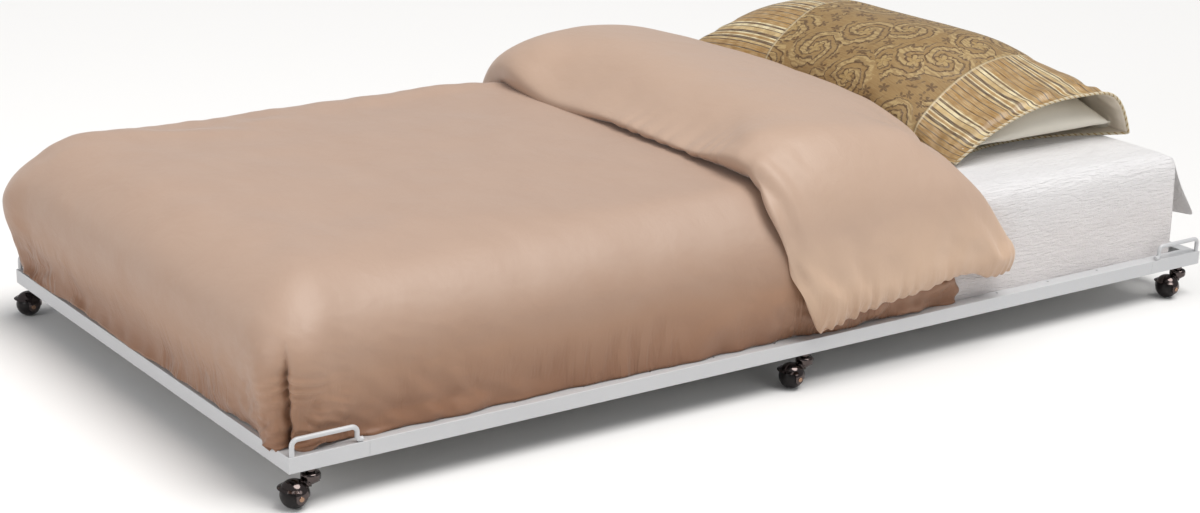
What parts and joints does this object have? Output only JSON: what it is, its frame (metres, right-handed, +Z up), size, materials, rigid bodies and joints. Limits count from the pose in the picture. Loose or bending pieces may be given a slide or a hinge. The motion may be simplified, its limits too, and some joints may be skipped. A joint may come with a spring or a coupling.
{
  "type": "trundle bed",
  "caption": "Low roll-out trundle bed: angle-steel frame on swivelling ball casters, mattress retainers, link-spring deck, mattress, sheet, turned-back duvet and a pillow in a brocade sham.",
  "frame": {"origin": "on the floor, below the middle of the bed frame", "axes": "+X along the bed from the foot end to the head (pillow) end, +Y from the near side (the one the duvet's open fold shows on) to the far side, +Z up"},
  "size_m": [1.902, 0.9994, 0.424],
  "materials": {
    "frame_paint": "silver-white powder coat, satin",
    "black_chrome": "dark antique chrome, polished",
    "antique_rivet": "dark antique chrome, spun rivet head",
    "black_ball": "black moulded ball, semi-gloss",
    "spring_steel": "bright drawn wire",
    "zinc_steel": "zinc plated",
    "mattress_cover": "woven ticking",
    "white_cotton": "white textured cotton",
    "tan_sateen": "tan sateen, soft sheen",
    "gold_brocade": "gold damask with striped satin ends",
    "cream_cotton": "cream cotton"
  },
  "bodies": {
    "root": {"foot_rail": "frame_paint", "head_rail": "frame_paint", "near_side_rail": "frame_paint", "far_side_rail": "frame_paint", "return_foot_near": "frame_paint", "return_head_near": "frame_paint", "return_head_far": "frame_paint", "return_foot_far": "frame_paint", "splice_plates": "frame_paint", "splice_studs": "zinc_steel", "splice_nuts": "zinc_steel", "retainer_foot_near": "frame_paint", "retainer_foot_far": "frame_paint", "retainer_head_near": "frame_paint", "retainer_head_far": "frame_paint", "deck_wires_along": "spring_steel", "deck_wires_across": "spring_steel", "deck_springs_ends": "spring_steel", "deck_springs_sides": "spring_steel", "middle_crossbar": "frame_paint", "caster_sockets": "frame_paint", "mattress": "mattress_cover", "fitted_sheet": "white_cotton", "duvet": "tan_sateen", "pillow_sham": "gold_brocade", "pillow_insert": "cream_cotton", "stem_foot_near": "black_chrome", "stem_mid_near": "black_chrome", "stem_head_near": "black_chrome", "stem_foot_far": "black_chrome", "stem_mid_far": "black_chrome", "stem_head_far": "black_chrome"},
    "caster_foot_near": {"hood_foot_near": "black_chrome", "collar_foot_near": "black_chrome", "axle_foot_near": "antique_rivet"},
    "roller_foot_near": {"ball_foot_near": "black_ball"},
    "caster_mid_near": {"hood_mid_near": "black_chrome", "collar_mid_near": "black_chrome", "axle_mid_near": "antique_rivet"},
    "roller_mid_near": {"ball_mid_near": "black_ball"},
    "caster_head_near": {"hood_head_near": "black_chrome", "collar_head_near": "black_chrome", "axle_head_near": "antique_rivet"},
    "roller_head_near": {"ball_head_near": "black_ball"},
    "caster_foot_far": {"hood_foot_far": "black_chrome", "collar_foot_far": "black_chrome", "axle_foot_far": "antique_rivet"},
    "roller_foot_far": {"ball_foot_far": "black_ball"},
    "caster_mid_far": {"hood_mid_far": "black_chrome", "collar_mid_far": "black_chrome", "axle_mid_far": "antique_rivet"},
    "roller_mid_far": {"ball_mid_far": "black_ball"},
    "caster_head_far": {"hood_head_far": "black_chrome", "collar_head_far": "black_chrome", "axle_head_far": "antique_rivet"},
    "roller_head_far": {"ball_head_far": "black_ball"}
  },
  "joints": [
    {"name": "swivel_foot_near", "type": "hinge", "parent": "root", "child": "caster_foot_near", "pos_m": [-0.906, -0.476, 0.045], "axis": [0, 0, 1], "continuous": true},
    {"name": "roll_foot_near", "type": "hinge", "parent": "caster_foot_near", "child": "roller_foot_near", "pos_m": [-0.932, -0.476, 0.0205], "axis": [0, 1, 0], "continuous": true},
    {"name": "swivel_mid_near", "type": "hinge", "parent": "root", "child": "caster_mid_near", "pos_m": [0, -0.476, 0.045], "axis": [0, 0, 1], "continuous": true},
    {"name": "roll_mid_near", "type": "hinge", "parent": "caster_mid_near", "child": "roller_mid_near", "pos_m": [-0.026, -0.476, 0.0205], "axis": [0, 1, 0], "continuous": true},
    {"name": "swivel_head_near", "type": "hinge", "parent": "root", "child": "caster_head_near", "pos_m": [0.906, -0.476, 0.045], "axis": [0, 0, 1], "continuous": true},
    {"name": "roll_head_near", "type": "hinge", "parent": "caster_head_near", "child": "roller_head_near", "pos_m": [0.88, -0.476, 0.0205], "axis": [0, 1, 0], "continuous": true},
    {"name": "swivel_foot_far", "type": "hinge", "parent": "root", "child": "caster_foot_far", "pos_m": [-0.906, 0.476, 0.045], "axis": [0, 0, 1], "continuous": true},
    {"name": "roll_foot_far", "type": "hinge", "parent": "caster_foot_far", "child": "roller_foot_far", "pos_m": [-0.932, 0.476, 0.0205], "axis": [0, 1, 0], "continuous": true},
    {"name": "swivel_mid_far", "type": "hinge", "parent": "root", "child": "caster_mid_far", "pos_m": [0, 0.476, 0.045], "axis": [0, 0, 1], "continuous": true},
    {"name": "roll_mid_far", "type": "hinge", "parent": "caster_mid_far", "child": "roller_mid_far", "pos_m": [-0.026, 0.476, 0.0205], "axis": [0, 1, 0], "continuous": true},
    {"name": "swivel_head_far", "type": "hinge", "parent": "root", "child": "caster_head_far", "pos_m": [0.906, 0.476, 0.045], "axis": [0, 0, 1], "continuous": true},
    {"name": "roll_head_far", "type": "hinge", "parent": "caster_head_far", "child": "roller_head_far", "pos_m": [0.88, 0.476, 0.0205], "axis": [0, 1, 0], "continuous": true}
  ]
}
